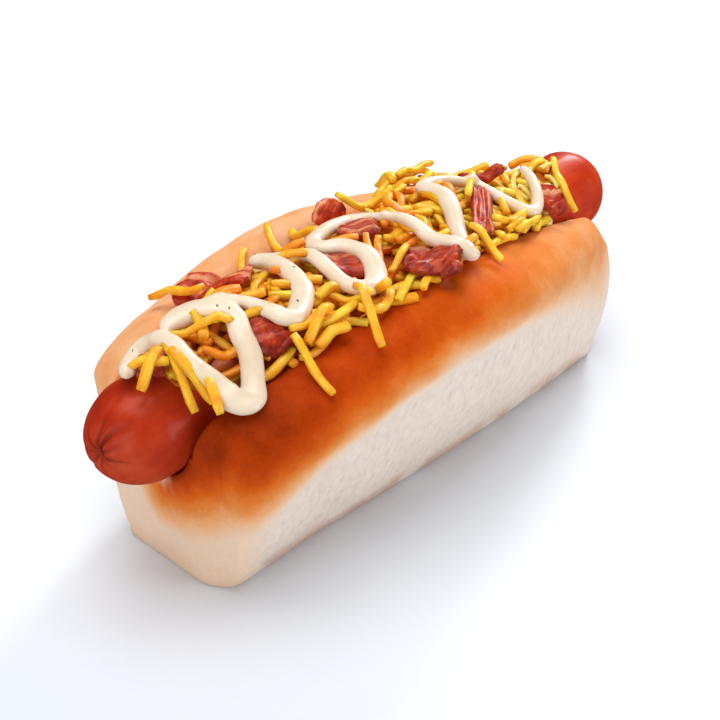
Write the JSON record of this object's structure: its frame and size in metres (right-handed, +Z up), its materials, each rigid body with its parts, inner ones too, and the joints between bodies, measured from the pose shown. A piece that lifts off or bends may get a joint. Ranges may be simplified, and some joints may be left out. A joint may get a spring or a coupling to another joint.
{
  "type": "hot dog",
  "caption": "Hot dog in an opened pull-apart bun, topped with grated cheese, bacon pieces and a zigzag of thick white sauce.",
  "frame": {"origin": "middle of the bun's flat base", "axes": "+X along the sausage, from its puckered end to its smooth end; +Z up, out of the opened bun; +Y across the bun"},
  "size_m": [0.1942, 0.082, 0.073],
  "materials": {
    "bread": "soft browned crust with pale torn sides",
    "sausage_skin": "smooth moist skin",
    "cheese": "grated, slightly oily, with glossy white sauce",
    "bacon": "fried, oily"
  },
  "bodies": {
    "root": {"bun": "bread", "sausage": "sausage_skin", "cheese_and_sauce": "cheese", "bacon_near_end": "bacon", "bacon_rim_left": "bacon", "bacon_near_loop": "bacon", "bacon_mid": "bacon", "bacon_mid_back": "bacon", "bacon_dome_left": "bacon", "bacon_near_rim": "bacon", "bacon_strip": "bacon", "bacon_curl": "bacon", "bacon_far_end": "bacon"}
  },
  "joints": []
}
